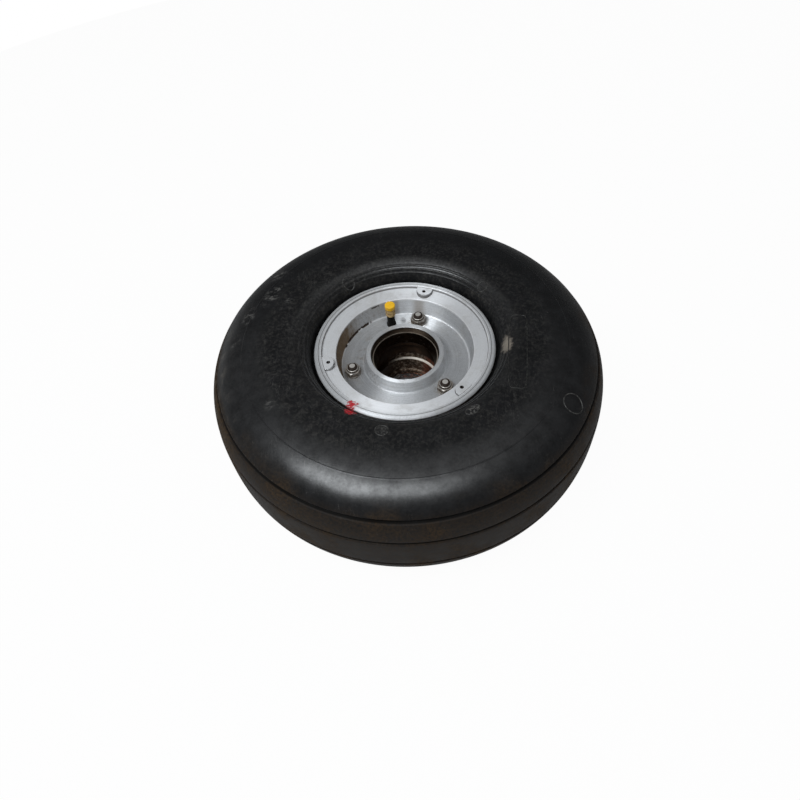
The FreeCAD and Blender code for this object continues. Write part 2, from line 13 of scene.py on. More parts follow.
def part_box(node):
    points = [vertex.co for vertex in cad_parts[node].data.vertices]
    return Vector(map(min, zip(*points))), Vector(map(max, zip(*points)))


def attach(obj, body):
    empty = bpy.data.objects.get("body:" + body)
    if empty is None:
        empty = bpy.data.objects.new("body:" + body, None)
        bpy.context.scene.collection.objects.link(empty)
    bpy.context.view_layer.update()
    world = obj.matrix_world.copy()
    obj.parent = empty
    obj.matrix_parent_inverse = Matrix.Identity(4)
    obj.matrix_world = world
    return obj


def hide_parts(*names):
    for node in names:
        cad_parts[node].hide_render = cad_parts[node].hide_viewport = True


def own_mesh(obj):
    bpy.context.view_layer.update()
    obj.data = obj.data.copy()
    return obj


bl_info = {
    "name": "Aircraft Wheel Dressing",
    "version": (1, 0, 0),
    "blender": (4, 5, 0),
    "location": "3D View > Sidebar > Wheel",
    "description": "Ribbed tyre, turned castings, fasteners and valve of a light aircraft wheel",
    "category": "Object",
}

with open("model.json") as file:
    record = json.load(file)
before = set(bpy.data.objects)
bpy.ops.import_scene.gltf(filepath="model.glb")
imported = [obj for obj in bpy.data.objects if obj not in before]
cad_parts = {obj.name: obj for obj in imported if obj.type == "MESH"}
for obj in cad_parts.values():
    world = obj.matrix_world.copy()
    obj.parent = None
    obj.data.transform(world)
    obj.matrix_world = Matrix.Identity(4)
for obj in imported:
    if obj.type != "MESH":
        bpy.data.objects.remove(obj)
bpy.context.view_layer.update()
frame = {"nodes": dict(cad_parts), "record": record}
NODES = frame["nodes"]
JOINTS = frame["record"]["behaviour"]["joints"]
TYRE_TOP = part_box("tyre")[1]
NUT_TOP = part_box("tie_nut_1")[1]
BOLT_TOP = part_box("tie_bolt_1")[1]
CAP_LOW, CAP_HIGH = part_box("valve_cap")

MM = 0.001

# Places on the wheel: angles in degrees, radii in millimetres.
NUT_ANGLES = (72, 192, 312)
NUT_CIRCLE = 48.5
PAD_ANGLES = (71, 191, 311)
PAD_CIRCLE = 70.8
PAD_RADIUS = 7.2
PAD_HOLE_CIRCLE = 68.3
VALVE_ANGLE = 103
VALVE_CIRCLE = 46.5

# Turned faces of a wheel half: inner and outer radius in millimetres, and the middle of the dish wall.
HUB_FACE = (31, 37.5)
WEB = (38.5, 56.5)
DISH_WALL = (57.8, 61.0)
DISH_MIDDLE = 59
RING_FACE = (61.6, 73.2)

# Bolt threads, wire of the core's spring and section of the mould marks, in millimetres.
THREAD_ROOT, THREAD_CREST, THREAD_PITCH = 3.95, 4.2, 1.06
SPRING_WIRE, SPRING_TURNS = 0.2, 3.5
MARK_WIDTH, MARK_HEIGHT = 1.0, 0.45

# Fine moulded rings of the sidewall: radius, half width and height.
SIDEWALL_RINGS = ((140.7, 0.55, 0.22), (90.6, 0.6, 0.45), (87.9, 0.5, 0.4), (85.6, 0.5, 0.4))

# Plain mould marks: name, angle, radius, half sizes along and across, corner power and lean in degrees.
MOULD_MARKS = (
    ("mould_mark_large", -32, 153, 8.2, 7.8, 2, 0),
    ("mould_mark_oval", -60, 98.5, 6.4, 3.6, 2, 0),
    ("mould_mark_low", -103, 100.5, 5.2, 4.8, 2, 0),
    ("mould_mark_high", 122.5, 88.5, 5.4, 4.6, 2, 0),
    ("mould_mark_side", 35, 92, 4.6, 4.2, 2, 0),
    ("mould_panel", -16.9, 98.2, 40, 7.5, 6, 7),
)

# Rubbed patches of the shoulder: angle, radius, half sizes across and around, outer and inner edge, strength.
RUBBED_PATCHES = (
    (151, 133, 8, 16, 1.3, 0.3, 1.0),
    (164, 144, 6, 11, 1.3, 0.3, 1.0),
    (141, 147, 6, 10, 1.2, 0.4, 0.7),
    (177, 148, 5, 12, 1.2, 0.4, 0.5),
    (-150, 128, 7, 7, 1.1, 0.2, 0.5),
    (153, 114, 5, 6, 1.1, 0.3, 1.0),
)

# The same for the rubbed faces of the oval and the low mould mark.
RUBBED_MARKS = ((-60, 98.5, 4.2, 7.2, 1.1, 0.8, 1.0), (-103, 100.5, 5.4, 5.8, 1.1, 0.8, 0.4))

# Colours of single marks on the rubber.
MOTTLING = (0.028, 0.027, 0.025)
ASH = (0.085, 0.072, 0.056)
DULL_BLOOM = (0.046, 0.044, 0.041)
RIM_DUST = (0.070, 0.064, 0.055)
SCUFFED = (0.17, 0.165, 0.155)
PALE_FLECKS = (0.14, 0.13, 0.115)
DRY_SMEAR = (0.27, 0.235, 0.195)
GROOVE_SHADE = (0.0022, 0.0020, 0.0018)

# Colours of single marks on the castings and cups.
RING_ALLOY_AND_EDGE_HIGHLIGHT = (0.84, 0.85, 0.87)
TARNISH = (0.36, 0.345, 0.32)
PALE_SPECKS = (0.86, 0.86, 0.86)
BARE_NICKS = (0.93, 0.93, 0.93)
SEAL_BORE = (0.13, 0.105, 0.08)
BORE_GLINTS = (0.21, 0.16, 0.115)
BORE_RUST = (0.17, 0.036, 0.010)
WIPED_EDGE_AND_HIGHLIGHT = (0.92, 0.86, 0.77)
RACE_RUST = (0.24, 0.055, 0.016)
WIPED_STEEL_AND_HIGHLIGHT = (0.62, 0.55, 0.47)

# Metals, rubbers and plastic of the small pieces.
BOLT_STEEL = (0.52, 0.50, 0.47)
NUT_STEEL = (0.60, 0.58, 0.55)
WASHER_STEEL = (0.66, 0.64, 0.60)
PIN_STEEL = (0.60, 0.56, 0.50)
BRASS = (0.55, 0.40, 0.17)
VALVE_RUBBER = (0.004, 0.0036, 0.0032)
BLOOMED_RUBBER = (0.016, 0.013, 0.010)
TUBE_RUBBER = (0.014, 0.014, 0.014)
TALC = (0.16, 0.16, 0.155)
CAP_WORN = (0.58, 0.29, 0.012)
CAP_FADED = (0.54, 0.39, 0.19)
CAP_DIRT = (0.13, 0.055, 0.016)

# The stage's lamps.
LAMP_COLOUR = (0.93, 0.97, 1.0)
LAMP_DISTANCE = 1.30


# Sizes and colours


class TyreSizes(PropertyGroup):
    tread_radius: FloatProperty(
        name="Tread radius", description="Outside radius of the tyre", default=min(TYRE_TOP.xy), unit="LENGTH"
    )
    half_width: FloatProperty(
        name="Half width", description="Half of the section width", default=TYRE_TOP.z, unit="LENGTH"
    )
    widest_radius: FloatProperty(
        name="Widest radius", description="Radius where the section is widest", default=0.100, unit="LENGTH"
    )
    crown_power: FloatProperty(
        name="Crown power", description="Superellipse power of the tread and shoulders", default=3.0
    )
    flank_power: FloatProperty(
        name="Flank power", description="Superellipse power of the sidewall at the rim", default=1.75
    )
    foot_radius: FloatProperty(
        name="Foot radius", description="Radius of the sidewall's foot at the rim", default=0.082, unit="LENGTH"
    )
    foot_height: FloatProperty(
        name="Foot height", description="Height of the sidewall's foot", default=0.0435, unit="LENGTH"
    )
    seat_radius: FloatProperty(
        name="Seat radius", description="Radius of the bead seat", default=0.0635, unit="LENGTH"
    )
    flange_height: FloatProperty(
        name="Flange height", description="Inner face of the rim flange", default=0.041, unit="LENGTH"
    )
    groove_width: FloatProperty(
        name="Groove width", description="Width of a tread groove at the surface", default=0.0031, unit="LENGTH"
    )
    groove_depth: FloatProperty(
        name="Groove depth", description="Depth of a tread groove", default=0.0034, unit="LENGTH"
    )
    groove_inner: FloatProperty(
        name="Inner groove", description="Middle groove's distance from mid plane", default=0.0188, unit="LENGTH"
    )
    groove_outer: FloatProperty(
        name="Outer groove", description="Shoulder groove's distance from mid plane", default=0.0403, unit="LENGTH"
    )
    wall: FloatProperty(name="Wall", description="Thickness of the sidewall", default=0.0065, unit="LENGTH")
    tread_wall: FloatProperty(
        name="Tread wall", description="Thickness under the tread", default=0.011, unit="LENGTH"
    )
    turns: IntProperty(name="Steps round", description="Faces round the tyre", default=300, min=90)


class WheelColours(PropertyGroup):
    rubber: FloatVectorProperty(
        name="Rubber", description="Sidewall rubber", subtype="COLOR", default=(0.0048, 0.0050, 0.0056)
    )
    rubber_dust: FloatVectorProperty(
        name="Dust", description="Dust on the tread ribs", subtype="COLOR", default=(0.056, 0.034, 0.016)
    )
    alloy: FloatVectorProperty(
        name="Alloy", description="Turned wheel castings", subtype="COLOR", default=(0.73, 0.745, 0.765)
    )
    stain: FloatVectorProperty(
        name="Stain", description="Brown stain round nuts and hub", subtype="COLOR", default=(0.16, 0.11, 0.065)
    )
    grease: FloatVectorProperty(
        name="Grease", description="Old bearing grease", subtype="COLOR", default=(0.022, 0.012, 0.007)
    )
    creep_mark: FloatVectorProperty(
        name="Creep mark", description="Paint across rim and tyre", subtype="COLOR", default=(0.42, 0.012, 0.020)
    )
    cap_top: FloatVectorProperty(
        name="Cap", description="Valve cap", subtype="COLOR", default=(0.88, 0.50, 0.012)
    )


class StageSizes(PropertyGroup):
    distance: FloatProperty(
        name="Distance", description="Camera from the wheel's centre", default=0.600, unit="LENGTH"
    )
    elevation: FloatProperty(
        name="Elevation", description="Camera above the floor", default=math.radians(51.5), subtype="ANGLE"
    )
    roll: FloatProperty(name="Roll", description="Camera's lean", default=math.radians(-5.55), subtype="ANGLE")
    lens: FloatProperty(name="Lens", description="Focal length in millimetres", default=28.78)
    aim: FloatVectorProperty(
        name="Aim", description="Point looked at", default=(-0.0079, -0.0249, 0.0), subtype="XYZ"
    )
    key_power: FloatProperty(name="Key lamp", description="Power of the soft lamp on the left", default=8.2)
    front_power: FloatProperty(name="Front lamp", description="Power of the soft lamp in front", default=3.9)
    sky: FloatProperty(name="Room light", description="Strength of the even room light", default=0.32)
    ceiling: FloatProperty(name="Ceiling", description="Brightness of the ceiling in reflections", default=0.45)
    walls: FloatProperty(name="Walls", description="Brightness of the walls in reflections", default=0.13)


# Shader maths


class Value:
    """A number in a material. Arithmetic on it adds Math nodes."""

    def __init__(self, finish, socket):
        self.finish = finish
        self.socket = socket

    def maths(self, operation, *values):
        return self.finish.node("ShaderNodeMath", {"operation": operation}, dict(enumerate(values)))

    def __add__(self, other):
        return self.maths("ADD", self, other)

    __radd__ = __add__

    def __mul__(self, other):
        return self.maths("MULTIPLY", self, other)

    __rmul__ = __mul__

    def __sub__(self, other):
        return self.maths("SUBTRACT", self, other)

    def __rsub__(self, other):
        return self.maths("SUBTRACT", other, self)

    def __truediv__(self, other):
        return self.maths("DIVIDE", self, other)

    def __rtruediv__(self, other):
        return self.maths("DIVIDE", other, self)

    def __pow__(self, other):
        return self.maths("POWER", self, other)

    def __abs__(self):
        return self.maths("ABSOLUTE", self)

    def root(self):
        return self.maths("SQRT", self)

    def most(self, other):
        return self.maths("MAXIMUM", self, other)

    def least(self, other):
        return self.maths("MINIMUM", self, other)

    def within(self, low, high):
        """The value itself, held between low and high."""
        return self.most(low).least(high)

    def step(self, low, high):
        """0 below low and 1 above high, smoothly between; the other way round if low is the larger."""
        turned_round = low > high
        limits = {"From Min": min(low, high), "From Max": max(low, high)}
        limits |= {"To Min": float(turned_round), "To Max": float(not turned_round)}
        return self.finish.node(
            "ShaderNodeMapRange", {"interpolation_type": "SMOOTHSTEP"}, {"Value": self, **limits}
        )

    def band(self, low, high, soft):
        """1 between low and high, with soft edges."""
        return self.step(low - soft, low + soft) * self.step(high + soft, high - soft)


class NodeTree:
    """The nodes of a material or of the room's light, written as expressions."""

    def __init__(self, owner):
        owner.use_nodes = True
        self.tree = owner.node_tree
        self.tree.nodes.clear()

    def node(self, kind, settings=None, inputs=None, output=0):
        """Adds a node: its settings first, then the values or links of its sockets."""
        made = self.tree.nodes.new(kind)
        for name, value in (settings or {}).items():
            setattr(made, name, value)
        for name, value in (inputs or {}).items():
            if isinstance(value, Value):
                self.tree.links.new(value.socket, made.inputs[name])
            else:
                made.inputs[name].default_value = value
        return None if output is None else Value(self, made.outputs[output])

    def part_of(self, vector, axis):
        return self.node("ShaderNodeSeparateXYZ", inputs={0: vector}, output=axis)

    def blend(self, factor, first, second):
        """Shader first where factor is 0, and second where it is 1."""
        return self.node("ShaderNodeMixShader", inputs={0: factor, 1: first, 2: second})

    def ray(self, kind):
        """1 for rays of a kind: Camera, Glossy or Transmission."""
        return self.node("ShaderNodeLightPath", output=f"Is {kind} Ray")


class Finish(NodeTree):
    """One procedural material. Coordinates are the object's own, in millimetres."""

    def __init__(self, name, **constants):
        self.material = bpy.data.materials.new(name)
        super().__init__(self.material)
        self.shader = self.tree.nodes.new("ShaderNodeBsdfPrincipled")
        output = self.tree.nodes.new("ShaderNodeOutputMaterial")
        self.tree.links.new(self.shader.outputs["BSDF"], output.inputs["Surface"])
        for socket, value in constants.items():
            self.shader.inputs[socket.replace("_", " ")].default_value = value
        self.place = self.node("ShaderNodeTexCoord", output="Object")
        self.x, self.y, self.z = (self.part_of(self.place, axis) * (1 / MM) for axis in "XYZ")
        self.r = (self.x * self.x + self.y * self.y).root()

    def vector(self, x, y, z):
        return self.node("ShaderNodeCombineXYZ", inputs={0: x, 1: y, 2: z})

    def noise(self, size, detail=3.0, vector=None, rough=0.5, distortion=0.0):
        """Even noise from 0 to 1 whose blobs are about size millimetres across; a vector is in millimetres."""
        inputs = {"Vector": vector or self.place, "Scale": 1 / (size * (1 if vector else MM))}
        inputs |= {"Detail": detail, "Roughness": rough, "Distortion": distortion}
        return self.node("ShaderNodeTexNoise", inputs=inputs, output="Fac")

    def mix(self, factor, first, second):
        """Colour first where factor is 0, and second where it is 1."""
        inputs = {0: factor, 6: self.colour(first), 7: self.colour(second)}
        return self.node("ShaderNodeMix", {"data_type": "RGBA"}, inputs, output=2)

    def colour(self, value):
        return value if isinstance(value, Value) else (*value[:3], 1.0)

    def rings(self, width, wander=0.4):
        """Turning marks: noise along the section that hardly changes round the axis."""
        run = self.r + self.z * 0.6
        round_axis = self.x / self.r * wander, self.y / self.r * wander
        return self.noise(width, 4.0, self.vector(run, *round_axis), 0.7)

    def blot(self, angle, radius, across, around, ragged=0.0, grain=3.0):
        """Distance from a place on the wheel, in units of the blot's half sizes across and around."""
        cosine, sine = math.cos(math.radians(angle)), math.sin(math.radians(angle))
        out = (self.x * cosine + self.y * sine - radius) / across
        along = (self.y * cosine - self.x * sine) / around
        away = (out * out + along * along).root()
        if not ragged:
            return away
        return away + (self.noise(grain, 4.0) - 0.5) * (2 * ragged)

    def patch(self, angle, radius, across, around, outer, inner, strength):
        """Soft patch: strength inside the inner edge and 0 outside the outer one, both in units of its half sizes."""
        return self.blot(angle, radius, across, around).step(outer, inner) * strength

    def nearest(self, angles, radius):
        """Distance in millimetres from the nearest of the axes at these angles on a circle."""
        away = self.blot(angles[0], radius, 1, 1)
        for angle in angles[1:]:
            away = away.least(self.blot(angle, radius, 1, 1))
        return away

    def bump(self, height, depth, strength=1.0):
        """Links height, a value from 0 to 1, as relief depth millimetres high."""
        inputs = {"Height": height, "Distance": depth * MM, "Strength": strength}
        self.link("Normal", self.node("ShaderNodeBump", inputs=inputs))

    def link(self, socket, value):
        self.tree.links.new(value.socket, self.shader.inputs[socket])

    def give(self, *pieces):
        for piece in pieces:
            piece.data.materials.clear()
            piece.data.materials.append(self.material)


# Surfaces


def mesh_piece(name, points, faces, smooth=False):
    """Object whose mesh has these points, in metres, and these faces."""
    mesh = bpy.data.meshes.new(name)
    mesh.from_pydata(points, [], faces, shade_flat=not smooth)
    mesh.update()
    piece = bpy.data.objects.new(name, mesh)
    bpy.context.scene.collection.objects.link(piece)
    return piece


def ring_grid(name, r, z, steps):
    """Closed ring of section points: x = r cos t, y = r sin t, z = z, with t in equal steps round the axis.

    r and z hold one closed section, going round it with the outside to the right of +z.
    """
    turn = np.linspace(0, 2 * np.pi, steps, endpoint=False)
    x, y = np.outer(r, np.cos(turn)), np.outer(r, np.sin(turn))
    return grid_mesh(name, np.stack([x, y, np.outer(z, np.ones(steps))], axis=2))


def grid_mesh(name, points):
    """Mesh of a grid of points that closes on itself both ways."""
    rows, columns = points.shape[:2]
    index = np.arange(rows * columns).reshape(rows, columns)
    below = np.roll(index, -1, axis=0)
    quads = np.stack([index, np.roll(index, -1, axis=1), np.roll(below, -1, axis=1), below], axis=2)
    return mesh_piece(name, points.reshape(-1, 3), quads.reshape(-1, 4), smooth=True)


def superellipse_height(r, inner, outer, height, power):
    """Height over radius: height (1 - ((r - inner) / (outer - inner))^power)^(1 / power)."""
    share = np.clip((r - inner) / (outer - inner), 0, 1)
    return height * (1 - share**power) ** (1 / power)


def sidewall_height(sizes, r):
    """Height of the outside of the tyre at a radius: shoulders outside the widest radius, flank inside it."""
    wide = sizes.widest_radius
    shoulder = superellipse_height(r, wide, sizes.tread_radius, sizes.half_width, sizes.crown_power)
    rise = sizes.half_width - sizes.foot_height
    flank = superellipse_height(wide - r, 0, wide - sizes.foot_radius, rise, sizes.flank_power)
    return np.where(r < wide, sizes.foot_height + flank, shoulder)


def tread_radius_at(sizes, z):
    """Radius over height of the same superellipse: w + (R - w) (1 - (|z| / h)^p)^(1 / p).

    w is the widest radius, R the tread radius, h the half width and p the crown power.
    """
    share = (1 - (np.abs(z) / sizes.half_width) ** sizes.crown_power) ** (1 / sizes.crown_power)
    return sizes.widest_radius + (sizes.tread_radius - sizes.widest_radius) * share


def groove_cut(sizes, z):
    """Depth cut into the tread at height z: a flat floor, steep straight walls and square-law eased lips."""
    half = sizes.groove_width / 2
    wall_start, wall_run = 0.1 * MM, 0.7 * MM
    lip_run, lip_drop = 0.9 * MM, 0.35 * MM
    cut = np.zeros_like(z)
    for place in (sizes.groove_inner, sizes.groove_outer):
        away = np.abs(z - place)
        wall = np.clip((half + wall_start - away) / wall_run, 0, 1)
        lip = np.clip((half + lip_run - away) / lip_run, 0, 1) ** 2
        cut = np.maximum(cut, sizes.groove_depth * wall + lip_drop * lip)
    return cut


def sidewall_lines(r):
    """Height of the sidewall's moulded rings at a radius: height times the root of 1 - |r - place| / half width."""
    rise = np.zeros_like(r)
    for place, half, height in SIDEWALL_RINGS:
        share = np.clip(1 - np.abs(r - place * MM) / (half * MM), 0, 1)
        rise = np.maximum(rise, height * MM * np.sqrt(share))
    return rise


def outer_run(sizes):
    """Outside of the upper half of the section, from the middle of the tread to the foot at the rim."""
    shoulder_z = sizes.half_width * 0.82
    tread_step, side_step = 1.9 * MM, 1.45 * MM
    lips = np.array([0, 0.85, 1.1, 1.35, 1.6, 1.85, 2.1, 2.4]) * MM
    marks = [place + side * lips for place in (sizes.groove_inner, sizes.groove_outer) for side in (-1, 1)]
    z = np.unique(np.concatenate([np.arange(0, shoulder_z, tread_step), *marks]))
    tread_r = tread_radius_at(sizes, z) - groove_cut(sizes, z)
    fine = np.array([-1, -0.6, -0.3, 0, 0.3, 0.6, 1]) * MM
    rings = [place * MM + half * fine for place, half, _ in SIDEWALL_RINGS]
    shoulder_r = tread_radius_at(sizes, z[-1:])[0]
    r = np.unique(np.concatenate([np.arange(sizes.foot_radius, shoulder_r, side_step), *rings]))[::-1]
    side_z = sidewall_height(sizes, r) + sidewall_lines(r)
    return np.concatenate([tread_r, r]), np.concatenate([z, side_z])


def inner_run(sizes):
    """Bead and inside of the upper half, from the foot at the rim to the middle of the crown.

    The heel is a quarter circle, the flank's height rises by 1 - (1 - t)^1.6, and the crown is a superellipse.
    """
    seat, flange, wide = sizes.seat_radius, sizes.flange_height, sizes.widest_radius
    heel, bead_width, bead_depth, bead_slope = 2.6 * MM, 12.5 * MM, 16 * MM, 6 * MM
    toe_z = flange - bead_depth
    side_z = sizes.half_width - sizes.wall
    turn = np.linspace(0, np.pi / 2, 5)
    heel_r = seat + heel - heel * np.sin(turn)
    heel_z = flange - heel + heel * np.cos(turn)
    rise = np.linspace(0, 1, 9)
    flank_r = seat + bead_width + (wide - seat - bead_width) * rise
    bead_z = toe_z + bead_slope
    flank_z = bead_z + (side_z - bead_z) * (1 - (1 - rise) ** 1.6)
    around = np.linspace(np.pi / 2, 0, 13)[1:]
    power = 2 / sizes.crown_power
    crown_r = wide + (sizes.tread_radius - sizes.tread_wall - wide) * np.cos(around) ** power
    crown_z = side_z * np.sin(around) ** power
    r = np.concatenate([[sizes.foot_radius], heel_r, [seat], flank_r, crown_r])
    z = np.concatenate([[flange], heel_z, [toe_z], flank_z, crown_z])
    return r, z


def tyre_section(sizes):
    """Whole closed section: the upper half and its mirror image."""
    outer_r, outer_z = outer_run(sizes)
    inner_r, inner_z = inner_run(sizes)
    r = np.concatenate([outer_r, inner_r])
    z = np.concatenate([outer_z, inner_z])
    return np.concatenate([r, r[-2:0:-1]]), np.concatenate([z, -z[-2:0:-1]])


def moulded_loop(name, sizes, angle, radius, along, across, power, lean):
    """Raised line on the upper sidewall along a superellipse about a place, given in millimetres.

    Path in plan: centre + along s(cos u) e + across s(sin u) f, with s(x) = sign(x) |x|^(2 / power), e the
    direction round the wheel turned by the lean and f at right angles to it.
    Section: width cos v to the side and height sin v along the surface's normal, a little sunk below.
    """
    width, height, sunk = MARK_WIDTH * MM, MARK_HEIGHT * MM, 0.3 * MM
    u = np.linspace(0, 2 * np.pi, 128, endpoint=False)
    path = along * np.sign(np.cos(u)) * np.abs(np.cos(u)) ** (2 / power) * 1j
    path = path + across * np.sign(np.sin(u)) * np.abs(np.sin(u)) ** (2 / power)
    place = np.exp(1j * math.radians(angle)) * (radius + path * np.exp(1j * math.radians(lean)))
    middle, normal = on_sidewall(sizes, np.angle(place), np.abs(place) * MM)
    side = np.cross(np.roll(middle, -1, axis=0) - np.roll(middle, 1, axis=0), normal)
    side /= np.linalg.norm(side, axis=1)[:, None]
    v = np.linspace(0, 2 * np.pi, 10, endpoint=False)
    out = (np.cos(v) * width / 2)[None, :, None]
    rise = (np.where(np.sin(v) > 0, height, sunk) * np.sin(v))[None, :, None]
    return grid_mesh(name, middle[:, None] + side[:, None] * out + normal[:, None] * rise)


def on_sidewall(sizes, t, r):
    """Points of the upper sidewall at angles t and radii r, and the surface's normals there."""
    step = 0.05 * MM
    slope = (sidewall_height(sizes, r + step) - sidewall_height(sizes, r - step)) / (2 * step)
    points = np.stack([r * np.cos(t), r * np.sin(t), sidewall_height(sizes, r)], axis=1)
    normals = np.stack([-slope * np.cos(t), -slope * np.sin(t), np.ones_like(r)], axis=1)
    return points, normals / np.linalg.norm(normals, axis=1)[:, None]


def thread_ridge(name, root, crest, low, high, pitch, centre, steps=36):
    """Helical ridge: radius root + (crest - root) * section(v), z = low + pitch t / 2 pi, closed at both ends.

    The section is a blunt tooth, and it fades in and out over the first and last half turn.
    """
    turns = (high - low - pitch) / pitch
    t = np.linspace(0, 2 * np.pi * turns, int(steps * turns) + 1)[:, None]
    fade = np.clip(np.minimum(t, t[-1] - t) / np.pi, 0, 1)
    side = np.array([0.5, 0.14, -0.14, -0.5, -0.5, 0.5])[None, :]
    out = np.array([0.0, 1.0, 1.0, 0.0, -0.6, -0.6])[None, :]
    r = root + (crest - root) * np.where(out > 0, out * fade, out)
    z = low + pitch / 2 + pitch * t / (2 * np.pi) + side * pitch * 0.9
    return wound_piece(name, t, r, z, centre)


def coil_spring(name, low, high, wire, turns, steps=24):
    """Round wire of a radius, wound in a box from low to high.

    r = R + wire sin v and z = low + wire + (height - 2 wire) t / (2 pi turns) + wire cos v, with R to the
    middle of the wire.
    """
    t = np.linspace(0, 2 * np.pi * turns, int(steps * turns) + 1)[:, None]
    v = np.linspace(0, 2 * np.pi, 10, endpoint=False)[None, :]
    r = (high.x - low.x) / 2 - wire + wire * np.sin(v)
    z = low.z + wire + (high.z - low.z - 2 * wire) * t / t[-1] + wire * np.cos(v)
    return wound_piece(name, t, r * np.ones_like(t), z, (low + high) / 2)


def wound_piece(name, t, r, z, centre):
    """Section wound round an upright axis: a row of r and z is the section at angle t, and both ends are closed."""
    points = np.stack([centre[0] + r * np.cos(t), centre[1] + r * np.sin(t), z * np.ones_like(r)], axis=2)
    rows, columns = points.shape[:2]
    index = np.arange(rows * columns).reshape(rows, columns)
    beside = np.roll(index, -1, axis=1)
    quads = np.stack([index[:-1], index[1:], beside[1:], beside[:-1]], axis=2).reshape(-1, 4)
    faces = quads.tolist() + [index[0].tolist(), index[-1][::-1].tolist()]
    return mesh_piece(name, points.reshape(-1, 3), faces)


# Finishes


def shaded(colour, share):
    """The same colour, darker where share is below 1 and lighter above it."""
    return tuple(share * part for part in colour)


def rubber_finish(colours):
    """Tyre rubber: dark bluish sidewall, dusty brown ribs, painted shade in the grooves, scuffs and the red creep
    mark.
    """
    finish = Finish("tyre_rubber", IOR=1.25, Coat_Roughness=0.28, Coat_IOR=1.6)
    r = finish.r
    broad = finish.noise(38, 4.0)
    cloudy = finish.noise(11, 4.0, rough=0.6)
    fine = finish.noise(2.2, 5.0, rough=0.65)
    grain = finish.noise(0.9, 3.0, rough=0.7)
    colour = finish.mix(cloudy.step(0.35, 0.72) * 0.7, colours.rubber, shaded(colours.rubber, 1.8))
    mottled = finish.noise(2.6, 5.0, rough=0.7).step(0.45, 0.70) * r.step(132, 118)
    colour = finish.mix(mottled * 0.7, colour, MOTTLING)
    left = finish.blot(-175, 176, 30, 190).step(1.25, 0.4)
    drifts = broad.step(0.45, 0.7) * r.step(150, 166) * 0.5
    dusty = (r.step(160, 172) * (0.35 + left * 0.65) + drifts).least(1.0)
    colour = finish.mix(dusty * fine.step(0.22, 0.7), colour, colours.rubber_dust)
    ashen = left * cloudy.step(0.52, 0.66) * r.step(152, 162) * 0.45
    colour = finish.mix(ashen, colour, ASH)
    dull = finish.noise(4.5, 6.0, rough=0.75, distortion=0.6).step(0.48, 0.68) * r.band(92, 126, 8)
    colour = finish.mix(dull * (0.2 + finish.x.step(20, -80) * 0.3), colour, DULL_BLOOM)
    rim_dust = r.band(81, 93, 4) * (cloudy * 0.5 + fine * 0.5).step(0.50, 0.68) * 0.35
    colour = finish.mix(rim_dust, colour, RIM_DUST)
    colour = finish.mix(scuffs(finish), colour, SCUFFED)
    flecks = finish.noise(1.5, 2.0).step(0.72, 0.78) * broad.step(0.48, 0.6) * r.step(88, 96)
    colour = finish.mix(flecks * 0.5, colour, PALE_FLECKS)
    smear = finish.blot(-11, 88.5, 4.6, 11, 0.7, 3.0).step(1.15, 0.35)
    colour = finish.mix(smear * 0.7, colour, DRY_SMEAR)
    # Painted shade: the tread grooves are painted near black.
    groove = tread_depth(finish).step(0.5, 1.8) * r.step(150, 156)
    colour = finish.mix(groove * 0.9, colour, GROOVE_SHADE)
    paint = creep_paint(finish, -122.5, 86.0, 6.5, 5.0)
    colour = finish.mix(paint, colour, colours.creep_mark)
    finish.link("Base Color", colour)
    rough = 0.50 + (fine - 0.5) * 0.25 + (cloudy - 0.5) * 0.20 + dusty * 0.40 + groove * 0.25
    finish.link("Roughness", rough.most(0.3))
    shoulder = r.band(122, 160, 9) * (0.80 + (cloudy - 0.5) * 1.4 + (fine - 0.5) * 0.9)
    shoulder = shoulder * finish.y.step(85, -35) * finish.x.step(165, 100)
    flank = r.band(86, 99, 4) * (0.5 + (fine - 0.5) * 1.5) * (0.7 + finish.y.step(-20, 50) * 0.9)
    finish.link("Coat Weight", (shoulder + flank - dusty * 0.3).within(0.0, 1.0))
    finish.bump(grain * 0.45 + fine * 0.8 + finish.noise(9, 3.0) * 1.3, 0.26, 0.7)
    return finish


def mark_finish(name, shade):
    """Raised mould marks, rubbed lighter and smoother than the sidewall; shade is the rubbed grey."""
    finish = Finish(name, IOR=1.45)
    worn = finish.noise(2.5, 4.0, rough=0.6)
    rubbed = (shade, shade * 0.98, shade * 0.93)
    finish.link("Base Color", finish.mix(worn.step(0.4, 0.7), shaded(rubbed, 0.2), rubbed))
    finish.link("Roughness", 0.36 + worn * 0.2)
    finish.bump(finish.noise(0.9, 3.0), 0.08, 0.6)
    return finish


def tread_depth(finish):
    """Millimetres below the tread's superellipse: R' - r, with R' the radius of tread_radius_at."""
    sizes = bpy.context.scene.wheel_tyre
    share = (abs(finish.z) / (sizes.half_width / MM)).least(1.0) ** sizes.crown_power
    wide = sizes.widest_radius / MM
    return (1 - share) ** (1 / sizes.crown_power) * (sizes.tread_radius / MM - wide) + wide - finish.r


def scuffs(finish):
    """Whitish rubbed marks and thin scratches on the shoulder, most of them on the far left."""
    streaky = finish.noise(5.0, 6.0, finish.vector(finish.x * 0.5, finish.y, finish.z), rough=0.72)
    rubbed = sum(finish.patch(*place) for place in RUBBED_PATCHES)
    patches = streaky.step(0.48, 0.62) * rubbed * 0.6
    marks = sum(finish.patch(*place) for place in RUBBED_MARKS)
    patches = patches + marks * finish.noise(1.6, 4.0).step(0.45, 0.62) * 0.5
    thin = finish.noise(2.6, 2.0, finish.vector(finish.x, finish.y * 0.12 + finish.x * 0.1, finish.z * 0.3))
    scratches = thin.band(0.495, 0.502, 0.003) * finish.noise(24, 2.0).step(0.5, 0.62) * 0.22
    return (patches + scratches).least(0.75)


